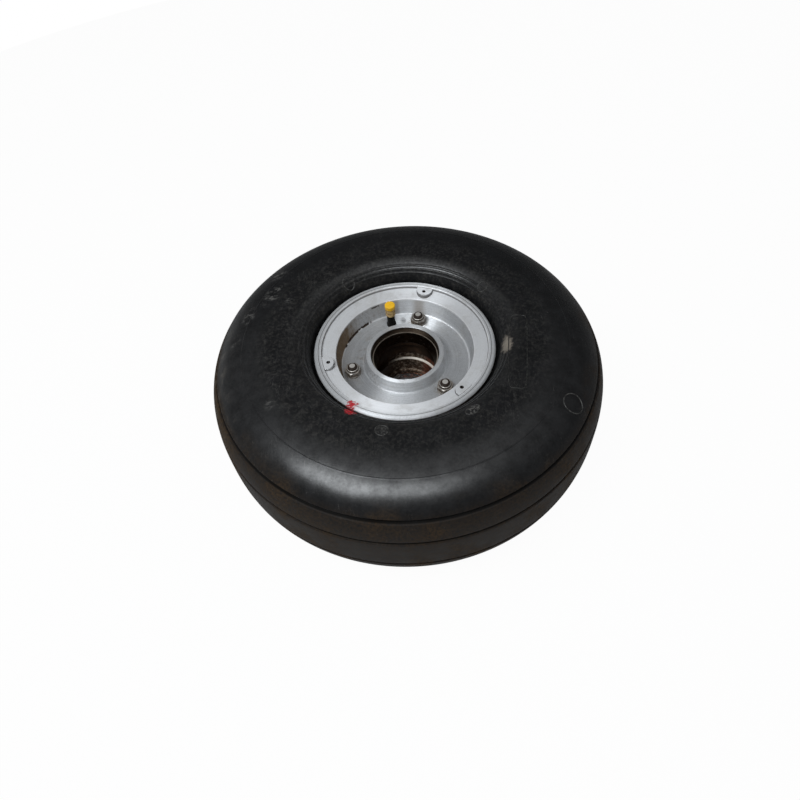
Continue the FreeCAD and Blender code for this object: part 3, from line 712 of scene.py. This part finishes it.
def creep_paint(finish, angle, radius, across, around):
    """Hand-brushed stripe that runs from rim to tyre: 1 on paint, with ragged edges and bare gaps."""
    edge = finish.blot(angle, radius, across, around, 0.55, 1.8)
    bare = finish.noise(1.5, 3.0, finish.vector(finish.x * 0.4, finish.y, finish.z)).step(0.50, 0.58)
    return edge.step(1.1, 0.85) * (1 - bare * 0.75)


def alloy_finish(colours, name, side):
    """Turned and worn casting: side is 1 for the upper half, which has the creep mark, and -1 for the lower.

    The turned faces are a little dished, which only tilts their highlights: relief of slope times radius.
    """
    finish = Finish(name, Metallic=1.0, Anisotropic=0.95, Anisotropic_Rotation=0.25)
    r, z = finish.r, finish.z * side
    marks = finish.rings(0.5)
    cloudy = finish.noise(10, 5.0, rough=0.6)
    fine = finish.noise(1.7, 4.0, rough=0.6)
    ring = r.band(*RING_FACE, 0.5)
    # edges are painted highlights: thin bright lines along the ring face's inner and outer edge and at the dish
    # wall's foot. The ring face itself has a brighter finish.
    edges = r.band(60.9, 61.7, 0.3) + r.band(73.3, 74.3, 0.3)
    edges = edges + r.band(57.0, 58.2, 0.5) * z.step(28.5, 27.0) * 0.6
    grainy = finish.noise(1.3, 3.0, rough=0.7)
    worn = (marks * 0.6 + grainy * 0.4).step(0.36, 0.66)
    colour = finish.mix(worn * 0.75, colours.alloy, shaded(colours.alloy, 0.66))
    colour = finish.mix((ring * 0.6 + edges).least(1.0), colour, RING_ALLOY_AND_EDGE_HIGHLIGHT)
    tarnish = cloudy.step(0.45, 0.72) * 0.35
    colour = finish.mix(tarnish, colour, TARNISH)
    specks = finish.noise(1.8, 2.0).step(0.68, 0.76) * finish.noise(16, 3.0).step(0.42, 0.6)
    colour = finish.mix(specks * 0.8, colour, PALE_SPECKS)
    nicked = finish.blot(7, 79.2, 1.4, 7.5, 0.6, 1.6).step(1.1, 0.8)
    nicked = nicked + finish.blot(1, 73.6, 0.7, 4, 0.5, 1.2).step(1.1, 0.8)
    colour = finish.mix(nicked.least(0.8), colour, BARE_NICKS)
    # The brown mask holds stains and a painted reflection of the valve cap; dark holds black marks, painted shade and
    # a painted shadow of the valve cap, all painted in the grease colour.
    stain_and_reflection, dark = stains_and_painted_light(finish, z, cloudy, fine)
    colour = finish.mix(stain_and_reflection, colour, colours.stain)
    colour = finish.mix(dark, colour, colours.grease)
    bore = r.step(33.0, 32.2) * z.step(36.8, 36.2)
    lining, bore_shine = bore_lining(finish, colours, side, bore, cloudy, fine)
    colour = finish.mix(bore, colour, lining)
    paint = 0.0
    if side > 0:
        paint = creep_paint(finish, -127.5, 76.5, 5.2, 5.0)
        colour = finish.mix(paint, colour, colours.creep_mark)
    finish.link("Base Color", colour)
    dirt_and_shade = (stain_and_reflection * 0.7 + dark + paint).least(1.0)
    oxide = 0.31 + ring * 0.30 + r.step(73.5, 75) * 0.18 + r.step(38, 36) * 0.12 + tarnish * 0.3 + edges * 0.2
    finish.link("Metallic", (1 - dirt_and_shade * 0.9) * (1 - oxide) * (1 - bore) + bore * bore_shine)
    polish = 0.39 + marks * 0.12 + tarnish * 0.25 + specks * 0.3 + ring * 0.15 - edges * 0.1
    finish.link("Roughness", polish + dirt_and_shade * 0.15 - bore * 0.02)
    nicks = finish.noise(1.1, 2.0).step(0.74, 0.79) * 0.8
    dished = r.within(*WEB) * 0.62 - r.within(*RING_FACE) * 0.45 - r.within(*HUB_FACE) * 0.42
    finish.bump((marks * 0.5 - nicks + fine * 0.3) * 0.042 + dished, 1.0)
    return finish


def bore_lining(finish, colours, side, bore, cloudy, fine):
    """Inside of a hub: its colour under old grease and rust, with painted glints and a bare ledge painted paler
    towards its lit right side, and its metallic share.
    """
    z = finish.z * side
    upper, lower = float(side > 0), float(side < 0)
    lining = finish.mix(cloudy.step(0.3, 0.7), colours.grease, shaded(colours.grease, 2.2))
    seal = bore * z.step(30.6, 31.2) * upper
    lines = finish.noise(0.9, 4.0, finish.vector(z, finish.x * 0.02, finish.y * 0.02), 0.7)
    lining = finish.mix(seal * (0.10 + lines.step(0.42, 0.62) * 0.6), lining, SEAL_BORE)
    spread = finish.noise(3.0, 5.0, rough=0.7) * lower
    glints = spread.step(0.47, 0.60) * finish.y.step(2, 22) * finish.x.step(-22, -6)
    lining = finish.mix(glints * 0.7, lining, BORE_GLINTS)
    rusty = spread.step(0.36, 0.52) * finish.blot(28, 28, 30, 13).step(1.2, 0.6)
    lining = finish.mix(rusty * 0.8, lining, BORE_RUST)
    # Painted highlight: the bare ledge at the lower hub's top is painted paler towards its lit right side.
    wiped_and_highlit = z.band(5.5, 6.6, 0.3) * finish.r.band(28.7, 31.2, 0.3) * finish.x.step(-20, 12) * lower
    lining = finish.mix(wiped_and_highlit * (0.6 + fine * 0.4), lining, WIPED_EDGE_AND_HIGHLIGHT)
    return lining, (0.9 - wiped_and_highlit * 0.7 - (glints + rusty).least(1.0) * 0.5).most(0.1)


def stains_and_painted_light(finish, z, cloudy, fine):
    """Brown and black marks of a casting, each 0 to 1: brown stains, a browner left half of the dish wall and a
    painted reflection of the valve cap; black marks and pits, painted shade round the pads, in the screw holes and
    along the rim's creases, and a painted shadow of the valve cap.
    """
    r = finish.r
    stained = finish.nearest(NUT_ANGLES, NUT_CIRCLE).step(11.5, 8.0) * fine.step(0.35, 0.65) * 0.45
    wall = r.band(*DISH_WALL, 0.3) * z.step(41.8, 41.0)
    browned = wall * finish.patch(178, DISH_MIDDLE, 45, 46, 1.1, 0.5, 0.95)
    # Painted reflection: the two brown patches on the dish wall right of the valve stand for the cap's brown
    # reflection; the runs on the left are streaks on the wall.
    cap_reflection_and_runs = wall * finish.patch(74, DISH_MIDDLE, 20, 7, 1.2, 0.2, 0.5)
    cap_reflection_and_runs = cap_reflection_and_runs + wall * finish.patch(97, DISH_MIDDLE, 20, 6, 1.1, 0.5, 0.5)
    runs = finish.noise(3.5, 6.0, finish.vector(finish.x, finish.y, finish.z * 0.5), rough=0.7).step(0.45, 0.68)
    cap_reflection_and_runs = cap_reflection_and_runs + runs * wall * finish.patch(150, DISH_MIDDLE, 45, 62, 1.15, 0.7, 0.35)
    rubbed = r.band(37.5, 44, 3) * cloudy.step(0.55, 0.68) * finish.patch(175, 38, 30, 45, 1.1, 0.7, 0.4)
    stain_and_reflection = (stained + browned + cap_reflection_and_runs + rubbed).least(1.0)
    broken = finish.noise(7, 2.0).step(0.38, 0.44)
    low = (z + (fine - 0.5) * 3).step(28.7, 28.0)
    dashes = low * r.band(57.0, 61.0, 0.3) * finish.blot(140, 58, 22, 19).step(1.1, 0.95) * broken
    upper = (z + (fine - 0.5) * 5).band(39.8, 42.0, 0.4) * wall
    upper = upper * finish.blot(114, 60, 20, 4.0, 0.4, 2).step(1.1, 0.8)
    # Painted shadow of the valve cap on the web, right of the valve.
    cap_shadow = finish.blot(VALVE_ANGLE - 14, VALVE_CIRCLE + 3, 4, 3, 0.4, 3).step(1.2, 0.4) * 0.6
    pits = finish.noise(1.3, 3.0).step(0.60, 0.66) * r.band(34.8, 37.6, 0.4)
    pits = pits * finish.patch(165, 36, 24, 46, 1.2, 0.9, 0.7)
    # Painted shade: dark rings round the raised pads, dark screw holes, and dark lines along the rim's groove, corner
    # and flange edge.
    round_pads = finish.nearest(PAD_ANGLES, PAD_CIRCLE).band(PAD_RADIUS - 0.1, PAD_RADIUS + 0.5, 0.15)
    ring_level = z.step(46.6, 45.8) * z.step(41.5, 42.5)
    pads = round_pads * r.step(73.4, 72.8) * ring_level * 0.7
    holes = finish.nearest(PAD_ANGLES, PAD_HOLE_CIRCLE).step(2.1, 1.8) * z.step(46.9, 46.4) * z.step(38, 39)
    lip_line = r.band(75.75, 76.25, 0.2) * 0.8
    ring_corner = r.band(72.9, 73.4, 0.2) * 0.75
    flange_edge = r.step(80.4, 80.1) * r.step(79.6, 79.9)
    grooves = (lip_line + ring_corner + flange_edge) * z.step(39, 40)
    dark = dashes + upper + cap_shadow * fine.step(0.3, 0.6) + pits + pads + holes + grooves
    return stain_and_reflection, dark.least(1.0)


def race_finish(colours):
    """Bearing cups: hard ground steel under dark old grease, with paler streaks and painted glints on the far side
    where the light falls, and a painted highlight on the outboard edge of the outer cup.
    """
    finish = Finish("greasy_bearing_steel")
    low = finish.z.step(0, -5)
    # Painted highlights: the outer cup's outboard edge is painted as a bright line, and the streaks and glints are
    # painted paler only on the lit far side.
    edge = finish.z.step(30.9, 31.2)
    film = finish.noise(4, 5.0)
    streaks = finish.noise(5, 4.0, finish.vector(finish.z * 2.5, finish.x, finish.y)).step(0.58, 0.72)
    far = finish.blot(60, 28, 26, 30).step(1.2, 0.5)
    glints = finish.noise(1.4, 3.0).step(0.57, 0.66) * far * low
    wiped_and_highlit = (streaks * far * (0.2 + low * 0.35) + glints * 0.5 + edge).least(1.0)
    colour = finish.mix(film.step(0.35, 0.7), colours.grease, shaded(colours.grease, 2.0))
    rusty = low * film.step(0.42, 0.62) * finish.x.step(-15, 5)
    colour = finish.mix(rusty, colour, RACE_RUST)
    colour = finish.mix(wiped_and_highlit, colour, WIPED_STEEL_AND_HIGHLIGHT)
    finish.link("Base Color", colour)
    finish.link("Metallic", 0.95 - rusty * 0.4 - glints * 0.3)
    finish.link("Roughness", 0.30 + film * 0.2)
    finish.bump(film + finish.noise(0.9, 3.0) * 0.4, 0.3, 0.8)
    return finish


def steel_finish(colours, name, base, dirt_and_shade):
    """Plated fastener steel: darker and browner towards its foot, with stain and painted shade on the lower sides,
    and painted shade round the bolt end in the collar; the last argument, from 0 to 1, sets how strong they are.
    """
    finish = Finish(name)
    film = finish.noise(2.4, 5.0, rough=0.65)
    fine = finish.noise(0.6, 3.0)
    # Darker and browner towards the foot: stain, and painted shade on the lower sides of the nut.
    low = finish.z.step(33.6, 29.5) * dirt_and_shade
    away = finish.nearest(NUT_ANGLES, NUT_CIRCLE)
    # Painted shade: a dark ring round the bolt end in the nut's collar and on the collar's side.
    ring = away.band(2.5, 4.35, 0.15) * finish.z.step(33.5, 33.8)
    ring = ring + away.band(5.1, 5.5, 0.1) * finish.z.band(32.4, 33.7, 0.2)
    end = away.step(2.55, 2.3) * finish.z.step(35.6, 36.1)
    spotted = film.step(0.62 - dirt_and_shade * 0.35, 0.82 - dirt_and_shade * 0.2) * 0.6
    stain_and_shade = (spotted + low * film.step(0.2, 0.6) + ring).least(1.0)
    grease_and_shade = (stain_and_shade * fine.step(0.45, 0.65) * 0.7 + low * 0.5 + ring).least(1.0)
    colour = finish.mix(fine, base, shaded(base, 0.75))
    colour = finish.mix(stain_and_shade * 0.85, colour, colours.stain)
    colour = finish.mix(grease_and_shade, colour, colours.grease)
    colour = finish.mix(end * (0.3 + film * 0.8), colour, BOLT_STEEL)
    finish.link("Base Color", colour)
    finish.link("Metallic", 0.85 - stain_and_shade * 0.6 - end * 0.3)
    finish.link("Roughness", 0.27 + stain_and_shade * 0.3 + fine * 0.1 + end * 0.2)
    finish.bump(fine * 0.6 + film * 0.4, 0.06, 0.6)
    return finish


def valve_rubber_finish():
    """Soft black rubber over the stem, dull and slightly bloomed."""
    finish = Finish("valve_rubber", IOR=1.2)
    bloom = finish.noise(3, 4.0)
    colour = finish.mix(bloom.step(0.4, 0.75), VALVE_RUBBER, BLOOMED_RUBBER)
    finish.link("Base Color", colour)
    finish.link("Roughness", 0.50 + bloom * 0.3)
    finish.bump(finish.noise(0.7, 3.0), 0.05, 0.5)
    return finish


def tube_finish():
    """Inner tube rubber, smooth with talc."""
    finish = Finish("tube_rubber")
    talc = finish.noise(12, 5.0)
    finish.link("Base Color", finish.mix(talc.step(0.45, 0.8), TUBE_RUBBER, TALC))
    finish.link("Roughness", 0.6 + talc * 0.3)
    finish.bump(finish.noise(2.0, 3.0), 0.08, 0.4)
    return finish


def brass_finish(name, base, rough):
    """Drawn metal of the valve parts, a little tarnished."""
    finish = Finish(name, Metallic=1.0)
    film = finish.noise(1.6, 4.0)
    finish.link("Base Color", finish.mix(film.step(0.4, 0.8), base, shaded(base, 0.45)))
    finish.link("Roughness", rough + film * 0.2)
    finish.bump(finish.noise(0.4, 2.0), 0.02, 0.4)
    return finish


def cap_finish(colours):
    """Yellow plastic cap: bright flat top, and a lower skirt faded to soiled cream."""
    finish = Finish("cap_plastic")
    height = finish.z - CAP_LOW.z / MM
    tall = (CAP_HIGH.z - CAP_LOW.z) / MM
    worn = finish.noise(1.8, 4.0)
    faded = (height + (worn - 0.5) * 2.5).step(tall * 0.74, tall * 0.64)
    colour = finish.mix(worn.step(0.3, 0.8) * 0.35, colours.cap_top, CAP_WORN)
    colour = finish.mix(faded * 0.9, colour, CAP_FADED)
    colour = finish.mix(faded * worn.step(0.45, 0.57) * 0.75, colour, CAP_DIRT)
    finish.link("Base Color", colour)
    finish.link("Roughness", 0.38 + worn * 0.25 + faded * 0.12)
    finish.bump(finish.noise(0.8, 4.0), 0.05, 0.5)
    return finish


# Operators


class WHEEL_OT_tyre(Operator):
    """Make the ribbed tyre in place of its plain solid"""

    bl_idname = "wheel.tyre"
    bl_label = "Tyre"

    def execute(self, context):
        sizes = context.scene.wheel_tyre
        r, z = tyre_section(sizes)
        tyre = ring_grid("ribbed_tyre", r, z, sizes.turns)
        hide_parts("tyre")
        marks = [moulded_loop(name, sizes, *shape) for name, *shape in MOULD_MARKS]
        rubber_finish(context.scene.wheel_colours).give(tyre)
        mark_finish("rubbed_rubber", shade=0.075).give(*marks[:-1])
        mark_finish("moulded_rubber", shade=0.035).give(marks[-1])
        for piece in (tyre, *marks):
            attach(piece, "wheel")
        tube_finish().give(NODES["inner_tube"])
        return {"FINISHED"}


class WHEEL_OT_castings(Operator):
    """Finish the two wheel halves as worn turned alloy"""

    bl_idname = "wheel.castings"
    bl_label = "Wheel halves"

    def execute(self, context):
        colours = context.scene.wheel_colours
        alloy_finish(colours, "outer_alloy", 1).give(NODES["outer_wheel_half"])
        alloy_finish(colours, "inner_alloy", -1).give(NODES["inner_wheel_half"])
        return {"FINISHED"}


class WHEEL_OT_bearing_cups(Operator):
    """Finish the two bearing cups as greasy ground steel"""

    bl_idname = "wheel.bearing_cups"
    bl_label = "Bearing cups"
    # Finish the two bearing cups as ground steel under old grease

    def execute(self, context):
        finish = race_finish(context.scene.wheel_colours)
        finish.give(NODES["outer_bearing_cup"], NODES["inner_bearing_cup"])
        return {"FINISHED"}


class WHEEL_OT_fasteners(Operator):
    """Finish bolts, nuts and washers, and cut threads on the bolt ends"""

    bl_idname = "wheel.fasteners"
    bl_label = "Tie bolts"

    def execute(self, context):
        colours = context.scene.wheel_colours
        bolt_steel = steel_finish(colours, "bolt_steel", BOLT_STEEL, dirt_and_shade=0.40)
        nut_steel = steel_finish(colours, "nut_steel", NUT_STEEL, dirt_and_shade=0.80)
        washer_steel = steel_finish(colours, "washer_steel", WASHER_STEEL, dirt_and_shade=0.45)
        for number, angle in enumerate(NUT_ANGLES, start=1):
            bolt_steel.give(NODES[f"tie_bolt_{number}"])
            nut_steel.give(NODES[f"tie_nut_{number}"])
            washer_steel.give(NODES[f"nut_washer_{number}"], NODES[f"head_washer_{number}"])
            turn = math.radians(angle)
            centre = (NUT_CIRCLE * MM * math.cos(turn), NUT_CIRCLE * MM * math.sin(turn))
            low, high = NUT_TOP.z - 0.5 * MM, BOLT_TOP.z - 0.4 * MM
            root, crest, pitch = THREAD_ROOT * MM, THREAD_CREST * MM, THREAD_PITCH * MM
            thread = thread_ridge(f"bolt_thread_{number}", root, crest, low, high, pitch, centre)
            bolt_steel.give(thread)
            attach(thread, "wheel")
        return {"FINISHED"}


class WHEEL_OT_valve(Operator):
    """Finish the filling valve: rubber, stem, core, pin, spring and cap"""

    bl_idname = "wheel.valve"
    bl_label = "Filling valve"

    def execute(self, context):
        valve_rubber_finish().give(NODES["valve_cover"])
        brass_finish("stem_brass", BRASS, rough=0.32).give(NODES["valve_stem"], NODES["valve_core"])
        low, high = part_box("valve_spring")
        spring = coil_spring("core_spring", low, high, SPRING_WIRE * MM, SPRING_TURNS)
        brass_finish("pin_steel", PIN_STEEL, rough=0.28).give(NODES["valve_pin"], spring)
        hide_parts("valve_spring")
        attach(spring, "wheel")
        travel = next(joint["range_m"][1] for joint in JOINTS if joint["name"] == "pin_press")
        1 - travel / (high.z - low.z)
        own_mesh(spring)
        cap_finish(context.scene.wheel_colours).give(NODES["valve_cap"])
        return {"FINISHED"}


class WHEEL_OT_stage(Operator):
    """Set the floor, the room light, the lamps and the camera"""

    bl_idname = "wheel.stage"
    bl_label = "Stage"

    def execute(self, context):
        scene = context.scene
        sizes = scene.wheel_stage
        scene.view_settings.view_transform = "Standard"
        make_floor()
        make_room(scene, sizes)
        make_lamp("key_lamp", sizes.key_power, direction=(-0.42, -0.29, 0.865), size=(0.62, 0.50))
        make_lamp("front_lamp", sizes.front_power, direction=(-0.02, -0.38, 0.92), size=(0.58, 0.42))
        make_camera(scene, sizes)
        return {"FINISHED"}


def make_floor():
    """Plain white round floor under the tyre, which keeps the wheel's shadow."""
    radius, steps = 1.15, 96
    seen_white, mirrored_white = 0.965, 0.10
    turn = np.linspace(0, 2 * np.pi, steps, endpoint=False)
    points = np.stack([radius * np.cos(turn), radius * np.sin(turn), np.full(steps, -TYRE_TOP.z)], axis=1)
    floor = mesh_piece("floor", points, [list(range(steps))])
    material = bpy.data.materials.new("white_floor")
    nodes = NodeTree(material)
    matt = nodes.node("ShaderNodeBsdfDiffuse", inputs={"Color": (0.72, 0.72, 0.72, 1)})
    glow = nodes.node("ShaderNodeEmission", inputs={"Strength": 1.0})
    mirrored = nodes.ray("Glossy").most(nodes.ray("Transmission"))
    share = (nodes.ray("Camera") * seen_white).most(mirrored * mirrored_white)
    nodes.node("ShaderNodeOutputMaterial", inputs={"Surface": nodes.blend(share, matt, glow)}, output=None)
    floor.data.materials.append(material)


def make_room(scene, sizes):
    """Even pale room light: white where it is seen, and in mirrors a pale horizon, dim walls and a ceiling."""
    horizon = 0.4
    world = bpy.data.worlds.new("room")
    scene.world = world
    nodes = NodeTree(world)
    up = nodes.part_of(nodes.node("ShaderNodeTexCoord", output="Generated"), "Z")
    mirrored = up.step(0.80, 0.97) * (sizes.ceiling - sizes.walls) + sizes.walls
    mirrored = mirrored.most(up.step(0.12, 0.0) * horizon)
    glossy = nodes.ray("Glossy").most(nodes.ray("Transmission"))
    strength = (glossy * (mirrored - sizes.sky) + sizes.sky).most(nodes.ray("Camera"))
    light = nodes.node("ShaderNodeBackground", inputs={"Color": (1, 1, 1, 1), "Strength": strength})
    nodes.node("ShaderNodeOutputWorld", inputs={"Surface": light}, output=None)


def make_lamp(name, power, direction, size):
    """Soft lamp, width by height, along a direction from the wheel and facing it."""
    light = bpy.data.lights.new(name, "AREA")
    light.shape = "RECTANGLE"
    light.size, light.size_y = size
    light.energy = power
    light.color = LAMP_COLOUR
    lamp = bpy.data.objects.new(name, light)
    bpy.context.scene.collection.objects.link(lamp)
    toward = Vector(direction).normalized()
    lamp.location = toward * LAMP_DISTANCE
    lamp.rotation_euler = toward.to_track_quat("Z", "Y").to_euler()


def make_camera(scene, sizes):
    """Camera on the wheel's front side, above it, leaning by the roll angle."""
    data = bpy.data.cameras.new("camera")
    data.lens = sizes.lens
    data.sensor_width = 36
    camera = bpy.data.objects.new("camera", data)
    scene.collection.objects.link(camera)
    place = Vector((0, -math.cos(sizes.elevation), math.sin(sizes.elevation))) * sizes.distance
    look = (Vector(sizes.aim) - place).normalized()
    level = look.cross(Vector((0, 0, 1))).normalized()
    up = level.cross(look)
    right = level * math.cos(sizes.roll) + up * math.sin(sizes.roll)
    over = up * math.cos(sizes.roll) - level * math.sin(sizes.roll)
    turned = Matrix((right, over, -look)).transposed().to_4x4()
    camera.matrix_world = Matrix.Translation(place) @ turned
    scene.camera = camera


# Panel and registration


class WHEEL_PT_dressing(Panel):
    bl_label = "Aircraft Wheel"
    bl_space_type = "VIEW_3D"
    bl_region_type = "UI"
    bl_category = "Wheel"

    def draw(self, context):
        for operator in OPERATORS:
            self.layout.operator(operator.bl_idname)
        for group in (context.scene.wheel_tyre, context.scene.wheel_colours, context.scene.wheel_stage):
            for name in group.bl_rna.properties.keys():
                if name not in ("rna_type", "name"):
                    self.layout.prop(group, name)


GROUPS = {"wheel_tyre": TyreSizes, "wheel_colours": WheelColours, "wheel_stage": StageSizes}
OPERATORS = (
    WHEEL_OT_tyre,
    WHEEL_OT_castings,
    WHEEL_OT_bearing_cups,
    WHEEL_OT_fasteners,
    WHEEL_OT_valve,
    WHEEL_OT_stage,
)


def register():
    for group in (*GROUPS.values(), *OPERATORS, WHEEL_PT_dressing):
        bpy.utils.register_class(group)
    for name, group in GROUPS.items():
        setattr(bpy.types.Scene, name, PointerProperty(type=group))


def unregister():
    for name in GROUPS:
        delattr(bpy.types.Scene, name)
    for group in (WHEEL_PT_dressing, *OPERATORS[::-1], *GROUPS.values()):
        bpy.utils.unregister_class(group)


def main():
    """Registers the add-on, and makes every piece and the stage."""
    register()
    bpy.ops.wheel.tyre()
    bpy.ops.wheel.castings()
    bpy.ops.wheel.bearing_cups()
    bpy.ops.wheel.fasteners()
    bpy.ops.wheel.valve()
    bpy.ops.wheel.stage()


if __name__ == "__main__":
    main()
